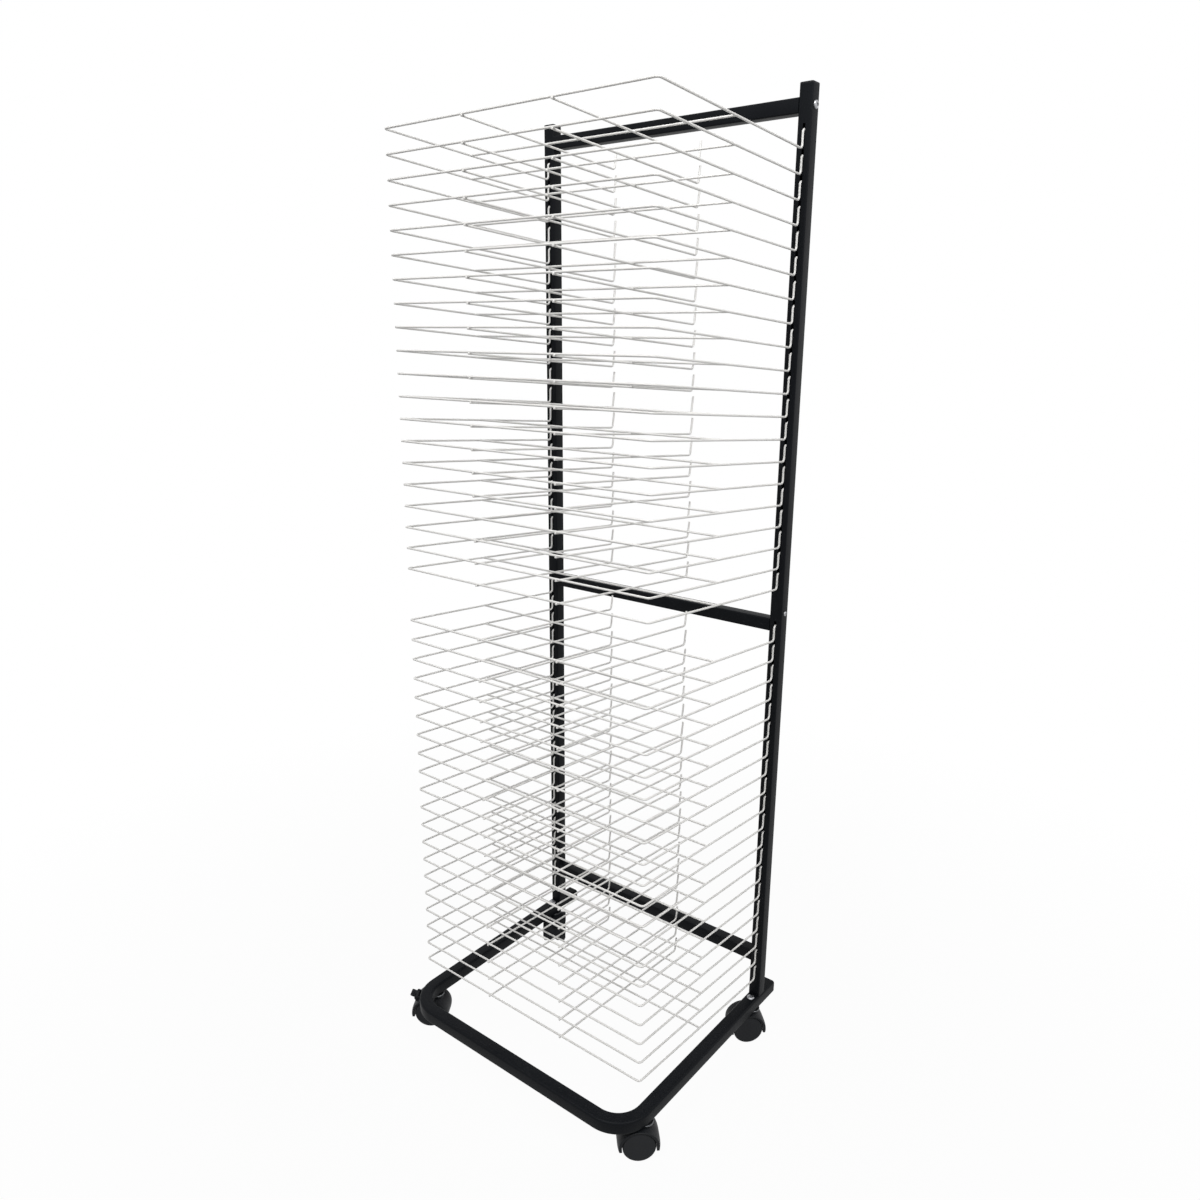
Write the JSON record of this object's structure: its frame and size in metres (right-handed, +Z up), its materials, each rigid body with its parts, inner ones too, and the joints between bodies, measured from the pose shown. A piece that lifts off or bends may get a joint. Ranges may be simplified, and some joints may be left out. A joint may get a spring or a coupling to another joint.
{
  "type": "art drying rack",
  "caption": "Mobile art drying rack: slotted square posts on a bent base tube with twin-wheel casters, carrying hooked white wire shelves that lift at the front.",
  "frame": {"origin": "on the floor, midway between the posts and midway between the base tube's front and rear ends", "axes": "+Z up, +X to the right for someone facing the rack's front, +Y to the rear, where the posts stand"},
  "size_m": [0.5302, 0.433, 1.4895],
  "materials": {
    "frame_black": "satin black powder coat",
    "shelf_white": "white powder coat",
    "cap_black": "moulded black plastic",
    "caster_grey": "moulded dark grey plastic",
    "wheel_grey": "moulded dark grey plastic",
    "pedal_grey": "moulded dark grey plastic"
  },
  "bodies": {
    "frame": {"base_tube": "frame_black", "left_post": "frame_black", "right_post": "frame_black", "left_post_cap": "cap_black", "right_post_cap": "cap_black", "left_base_cap": "cap_black", "right_base_cap": "cap_black", "top_rail": "frame_black", "mid_rail": "frame_black", "bottom_rail": "frame_black"},
    "shelf_01": {"shelf_01": "shelf_white"},
    "shelf_02": {"shelf_02": "shelf_white"},
    "shelf_03": {"shelf_03": "shelf_white"},
    "shelf_04": {"shelf_04": "shelf_white"},
    "shelf_05": {"shelf_05": "shelf_white"},
    "shelf_06": {"shelf_06": "shelf_white"},
    "shelf_07": {"shelf_07": "shelf_white"},
    "shelf_08": {"shelf_08": "shelf_white"},
    "shelf_09": {"shelf_09": "shelf_white"},
    "shelf_10": {"shelf_10": "shelf_white"},
    "shelf_11": {"shelf_11": "shelf_white"},
    "shelf_12": {"shelf_12": "shelf_white"},
    "shelf_13": {"shelf_13": "shelf_white"},
    "shelf_14": {"shelf_14": "shelf_white"},
    "shelf_15": {"shelf_15": "shelf_white"},
    "shelf_16": {"shelf_16": "shelf_white"},
    "shelf_17": {"shelf_17": "shelf_white"},
    "shelf_18": {"shelf_18": "shelf_white"},
    "shelf_19": {"shelf_19": "shelf_white"},
    "shelf_20": {"shelf_20": "shelf_white"},
    "shelf_21": {"shelf_21": "shelf_white"},
    "shelf_22": {"shelf_22": "shelf_white"},
    "shelf_23": {"shelf_23": "shelf_white"},
    "shelf_24": {"shelf_24": "shelf_white"},
    "shelf_25": {"shelf_25": "shelf_white"},
    "shelf_26": {"shelf_26": "shelf_white"},
    "shelf_27": {"shelf_27": "shelf_white"},
    "shelf_28": {"shelf_28": "shelf_white"},
    "shelf_29": {"shelf_29": "shelf_white"},
    "shelf_30": {"shelf_30": "shelf_white"},
    "shelf_31": {"shelf_31": "shelf_white"},
    "shelf_32": {"shelf_32": "shelf_white"},
    "shelf_33": {"shelf_33": "shelf_white"},
    "shelf_34": {"shelf_34": "shelf_white"},
    "shelf_35": {"shelf_35": "shelf_white"},
    "shelf_36": {"shelf_36": "shelf_white"},
    "shelf_37": {"shelf_37": "shelf_white"},
    "shelf_38": {"shelf_38": "shelf_white"},
    "shelf_39": {"shelf_39": "shelf_white"},
    "shelf_40": {"shelf_40": "shelf_white"},
    "front_left_caster": {"front_left_caster_housing": "caster_grey"},
    "front_left_wheels": {"front_left_wheel_pair": "wheel_grey"},
    "front_left_pedal": {"front_left_brake_pedal": "pedal_grey"},
    "front_right_caster": {"front_right_caster_housing": "caster_grey"},
    "front_right_wheels": {"front_right_wheel_pair": "wheel_grey"},
    "rear_left_caster": {"rear_left_caster_housing": "caster_grey"},
    "rear_left_wheels": {"rear_left_wheel_pair": "wheel_grey"},
    "rear_left_pedal": {"rear_left_brake_pedal": "pedal_grey"},
    "rear_right_caster": {"rear_right_caster_housing": "caster_grey"},
    "rear_right_wheels": {"rear_right_wheel_pair": "wheel_grey"}
  },
  "joints": [
    {"name": "shelf_01_lift", "type": "hinge", "parent": "frame", "child": "shelf_01", "pos_m": [0, 0.1629, 1.4305], "axis": [-1, 0, 0], "range_deg": [0, 65]},
    {"name": "shelf_02_lift", "type": "hinge", "parent": "frame", "child": "shelf_02", "pos_m": [0, 0.1629, 1.3985], "axis": [-1, 0, 0], "range_deg": [0, 65]},
    {"name": "shelf_03_lift", "type": "hinge", "parent": "frame", "child": "shelf_03", "pos_m": [0, 0.1629, 1.3665], "axis": [-1, 0, 0], "range_deg": [0, 65]},
    {"name": "shelf_04_lift", "type": "hinge", "parent": "frame", "child": "shelf_04", "pos_m": [0, 0.1629, 1.3345], "axis": [-1, 0, 0], "range_deg": [0, 65]},
    {"name": "shelf_05_lift", "type": "hinge", "parent": "frame", "child": "shelf_05", "pos_m": [0, 0.1629, 1.3025], "axis": [-1, 0, 0], "range_deg": [0, 65]},
    {"name": "shelf_06_lift", "type": "hinge", "parent": "frame", "child": "shelf_06", "pos_m": [0, 0.1629, 1.2705], "axis": [-1, 0, 0], "range_deg": [0, 65]},
    {"name": "shelf_07_lift", "type": "hinge", "parent": "frame", "child": "shelf_07", "pos_m": [0, 0.1629, 1.2385], "axis": [-1, 0, 0], "range_deg": [0, 65]},
    {"name": "shelf_08_lift", "type": "hinge", "parent": "frame", "child": "shelf_08", "pos_m": [0, 0.1629, 1.2065], "axis": [-1, 0, 0], "range_deg": [0, 65]},
    {"name": "shelf_09_lift", "type": "hinge", "parent": "frame", "child": "shelf_09", "pos_m": [0, 0.1629, 1.1745], "axis": [-1, 0, 0], "range_deg": [0, 65]},
    {"name": "shelf_10_lift", "type": "hinge", "parent": "frame", "child": "shelf_10", "pos_m": [0, 0.1629, 1.1425], "axis": [-1, 0, 0], "range_deg": [0, 65]},
    {"name": "shelf_11_lift", "type": "hinge", "parent": "frame", "child": "shelf_11", "pos_m": [0, 0.1629, 1.1105], "axis": [-1, 0, 0], "range_deg": [0, 65]},
    {"name": "shelf_12_lift", "type": "hinge", "parent": "frame", "child": "shelf_12", "pos_m": [0, 0.1629, 1.0785], "axis": [-1, 0, 0], "range_deg": [0, 65]},
    {"name": "shelf_13_lift", "type": "hinge", "parent": "frame", "child": "shelf_13", "pos_m": [0, 0.1629, 1.0465], "axis": [-1, 0, 0], "range_deg": [0, 65]},
    {"name": "shelf_14_lift", "type": "hinge", "parent": "frame", "child": "shelf_14", "pos_m": [0, 0.1629, 1.0145], "axis": [-1, 0, 0], "range_deg": [0, 65]},
    {"name": "shelf_15_lift", "type": "hinge", "parent": "frame", "child": "shelf_15", "pos_m": [0, 0.1629, 0.9825], "axis": [-1, 0, 0], "range_deg": [0, 65]},
    {"name": "shelf_16_lift", "type": "hinge", "parent": "frame", "child": "shelf_16", "pos_m": [0, 0.1629, 0.9505], "axis": [-1, 0, 0], "range_deg": [0, 65]},
    {"name": "shelf_17_lift", "type": "hinge", "parent": "frame", "child": "shelf_17", "pos_m": [0, 0.1629, 0.9185], "axis": [-1, 0, 0], "range_deg": [0, 65]},
    {"name": "shelf_18_lift", "type": "hinge", "parent": "frame", "child": "shelf_18", "pos_m": [0, 0.1629, 0.8865], "axis": [-1, 0, 0], "range_deg": [0, 65]},
    {"name": "shelf_19_lift", "type": "hinge", "parent": "frame", "child": "shelf_19", "pos_m": [0, 0.1629, 0.8545], "axis": [-1, 0, 0], "range_deg": [0, 65]},
    {"name": "shelf_20_lift", "type": "hinge", "parent": "frame", "child": "shelf_20", "pos_m": [0, 0.1629, 0.8225], "axis": [-1, 0, 0], "range_deg": [0, 65]},
    {"name": "shelf_21_lift", "type": "hinge", "parent": "frame", "child": "shelf_21", "pos_m": [0, 0.1629, 0.7405], "axis": [-1, 0, 0], "range_deg": [0, 65]},
    {"name": "shelf_22_lift", "type": "hinge", "parent": "frame", "child": "shelf_22", "pos_m": [0, 0.1629, 0.7085], "axis": [-1, 0, 0], "range_deg": [0, 65]},
    {"name": "shelf_23_lift", "type": "hinge", "parent": "frame", "child": "shelf_23", "pos_m": [0, 0.1629, 0.6765], "axis": [-1, 0, 0], "range_deg": [0, 65]},
    {"name": "shelf_24_lift", "type": "hinge", "parent": "frame", "child": "shelf_24", "pos_m": [0, 0.1629, 0.6445], "axis": [-1, 0, 0], "range_deg": [0, 65]},
    {"name": "shelf_25_lift", "type": "hinge", "parent": "frame", "child": "shelf_25", "pos_m": [0, 0.1629, 0.6125], "axis": [-1, 0, 0], "range_deg": [0, 65]},
    {"name": "shelf_26_lift", "type": "hinge", "parent": "frame", "child": "shelf_26", "pos_m": [0, 0.1629, 0.5805], "axis": [-1, 0, 0], "range_deg": [0, 65]},
    {"name": "shelf_27_lift", "type": "hinge", "parent": "frame", "child": "shelf_27", "pos_m": [0, 0.1629, 0.5485], "axis": [-1, 0, 0], "range_deg": [0, 65]},
    {"name": "shelf_28_lift", "type": "hinge", "parent": "frame", "child": "shelf_28", "pos_m": [0, 0.1629, 0.5165], "axis": [-1, 0, 0], "range_deg": [0, 65]},
    {"name": "shelf_29_lift", "type": "hinge", "parent": "frame", "child": "shelf_29", "pos_m": [0, 0.1629, 0.4845], "axis": [-1, 0, 0], "range_deg": [0, 65]},
    {"name": "shelf_30_lift", "type": "hinge", "parent": "frame", "child": "shelf_30", "pos_m": [0, 0.1629, 0.4525], "axis": [-1, 0, 0], "range_deg": [0, 65]},
    {"name": "shelf_31_lift", "type": "hinge", "parent": "frame", "child": "shelf_31", "pos_m": [0, 0.1629, 0.4205], "axis": [-1, 0, 0], "range_deg": [0, 65]},
    {"name": "shelf_32_lift", "type": "hinge", "parent": "frame", "child": "shelf_32", "pos_m": [0, 0.1629, 0.3885], "axis": [-1, 0, 0], "range_deg": [0, 65]},
    {"name": "shelf_33_lift", "type": "hinge", "parent": "frame", "child": "shelf_33", "pos_m": [0, 0.1629, 0.3565], "axis": [-1, 0, 0], "range_deg": [0, 65]},
    {"name": "shelf_34_lift", "type": "hinge", "parent": "frame", "child": "shelf_34", "pos_m": [0, 0.1629, 0.3245], "axis": [-1, 0, 0], "range_deg": [0, 65]},
    {"name": "shelf_35_lift", "type": "hinge", "parent": "frame", "child": "shelf_35", "pos_m": [0, 0.1629, 0.2925], "axis": [-1, 0, 0], "range_deg": [0, 65]},
    {"name": "shelf_36_lift", "type": "hinge", "parent": "frame", "child": "shelf_36", "pos_m": [0, 0.1629, 0.2605], "axis": [-1, 0, 0], "range_deg": [0, 65]},
    {"name": "shelf_37_lift", "type": "hinge", "parent": "frame", "child": "shelf_37", "pos_m": [0, 0.1629, 0.2285], "axis": [-1, 0, 0], "range_deg": [0, 65]},
    {"name": "shelf_38_lift", "type": "hinge", "parent": "frame", "child": "shelf_38", "pos_m": [0, 0.1629, 0.1965], "axis": [-1, 0, 0], "range_deg": [0, 65]},
    {"name": "shelf_39_lift", "type": "hinge", "parent": "frame", "child": "shelf_39", "pos_m": [0, 0.1629, 0.1645], "axis": [-1, 0, 0], "range_deg": [0, 65]},
    {"name": "shelf_40_lift", "type": "hinge", "parent": "frame", "child": "shelf_40", "pos_m": [0, 0.1629, 0.1325], "axis": [-1, 0, 0], "range_deg": [0, 65]},
    {"name": "front_left_swivel", "type": "hinge", "parent": "frame", "child": "front_left_caster", "pos_m": [-0.226, -0.1545, 0.056], "axis": [0, 0, 1], "continuous": true},
    {"name": "front_left_roll", "type": "hinge", "parent": "front_left_caster", "child": "front_left_wheels", "pos_m": [-0.23429, -0.16009, 0.025], "axis": [-0.5592, 0.829, 0], "continuous": true},
    {"name": "front_left_brake", "type": "hinge", "parent": "front_left_caster", "child": "front_left_pedal", "pos_m": [-0.25478, -0.17391, 0.04805], "axis": [0.5592, -0.829, 0], "range_deg": [0, 20]},
    {"name": "front_right_swivel", "type": "hinge", "parent": "frame", "child": "front_right_caster", "pos_m": [0.226, -0.1545, 0.056], "axis": [0, 0, 1], "continuous": true},
    {"name": "front_right_roll", "type": "hinge", "parent": "front_right_caster", "child": "front_right_wheels", "pos_m": [0.21869, -0.16132, 0.025], "axis": [-0.682, 0.7314, 0], "continuous": true},
    {"name": "rear_left_swivel", "type": "hinge", "parent": "frame", "child": "rear_left_caster", "pos_m": [-0.226, 0.1585, 0.056], "axis": [0, 0, 1], "continuous": true},
    {"name": "rear_left_roll", "type": "hinge", "parent": "rear_left_caster", "child": "rear_left_wheels", "pos_m": [-0.21957, 0.15084, 0.025], "axis": [-0.766, -0.6428, 0], "continuous": true},
    {"name": "rear_left_brake", "type": "hinge", "parent": "rear_left_caster", "child": "rear_left_pedal", "pos_m": [-0.20369, 0.13191, 0.04805], "axis": [0.766, 0.6428, 0], "range_deg": [0, 20]},
    {"name": "rear_right_swivel", "type": "hinge", "parent": "frame", "child": "rear_right_caster", "pos_m": [0.226, 0.1585, 0.056], "axis": [0, 0, 1], "continuous": true},
    {"name": "rear_right_roll", "type": "hinge", "parent": "rear_right_caster", "child": "rear_right_wheels", "pos_m": [0.21893, 0.15143, 0.025], "axis": [-0.7071, 0.7071, 0], "continuous": true}
  ],
  "couplings": [
    {"joint": "shelf_02_lift", "follows": "shelf_01_lift", "ratio": 1},
    {"joint": "shelf_03_lift", "follows": "shelf_01_lift", "ratio": 1},
    {"joint": "shelf_04_lift", "follows": "shelf_01_lift", "ratio": 1},
    {"joint": "shelf_05_lift", "follows": "shelf_01_lift", "ratio": 1},
    {"joint": "shelf_06_lift", "follows": "shelf_01_lift", "ratio": 1},
    {"joint": "shelf_07_lift", "follows": "shelf_01_lift", "ratio": 1},
    {"joint": "shelf_08_lift", "follows": "shelf_01_lift", "ratio": 1},
    {"joint": "shelf_09_lift", "follows": "shelf_01_lift", "ratio": 1},
    {"joint": "shelf_10_lift", "follows": "shelf_01_lift", "ratio": 1},
    {"joint": "shelf_11_lift", "follows": "shelf_01_lift", "ratio": 1},
    {"joint": "shelf_12_lift", "follows": "shelf_01_lift", "ratio": 1},
    {"joint": "shelf_13_lift", "follows": "shelf_01_lift", "ratio": 1},
    {"joint": "shelf_14_lift", "follows": "shelf_01_lift", "ratio": 1},
    {"joint": "shelf_15_lift", "follows": "shelf_01_lift", "ratio": 1},
    {"joint": "shelf_16_lift", "follows": "shelf_01_lift", "ratio": 1},
    {"joint": "shelf_17_lift", "follows": "shelf_01_lift", "ratio": 1},
    {"joint": "shelf_18_lift", "follows": "shelf_01_lift", "ratio": 1},
    {"joint": "shelf_19_lift", "follows": "shelf_01_lift", "ratio": 1},
    {"joint": "shelf_20_lift", "follows": "shelf_01_lift", "ratio": 1},
    {"joint": "shelf_21_lift", "follows": "shelf_01_lift", "ratio": 1},
    {"joint": "shelf_22_lift", "follows": "shelf_01_lift", "ratio": 1},
    {"joint": "shelf_23_lift", "follows": "shelf_01_lift", "ratio": 1},
    {"joint": "shelf_24_lift", "follows": "shelf_01_lift", "ratio": 1},
    {"joint": "shelf_25_lift", "follows": "shelf_01_lift", "ratio": 1},
    {"joint": "shelf_26_lift", "follows": "shelf_01_lift", "ratio": 1},
    {"joint": "shelf_27_lift", "follows": "shelf_01_lift", "ratio": 1},
    {"joint": "shelf_28_lift", "follows": "shelf_01_lift", "ratio": 1},
    {"joint": "shelf_29_lift", "follows": "shelf_01_lift", "ratio": 1},
    {"joint": "shelf_30_lift", "follows": "shelf_01_lift", "ratio": 1},
    {"joint": "shelf_31_lift", "follows": "shelf_01_lift", "ratio": 1},
    {"joint": "shelf_32_lift", "follows": "shelf_01_lift", "ratio": 1},
    {"joint": "shelf_33_lift", "follows": "shelf_01_lift", "ratio": 1},
    {"joint": "shelf_34_lift", "follows": "shelf_01_lift", "ratio": 1},
    {"joint": "shelf_35_lift", "follows": "shelf_01_lift", "ratio": 1},
    {"joint": "shelf_36_lift", "follows": "shelf_01_lift", "ratio": 1},
    {"joint": "shelf_37_lift", "follows": "shelf_01_lift", "ratio": 1},
    {"joint": "shelf_38_lift", "follows": "shelf_01_lift", "ratio": 1},
    {"joint": "shelf_39_lift", "follows": "shelf_01_lift", "ratio": 1},
    {"joint": "shelf_40_lift", "follows": "shelf_01_lift", "ratio": 1}
  ]
}
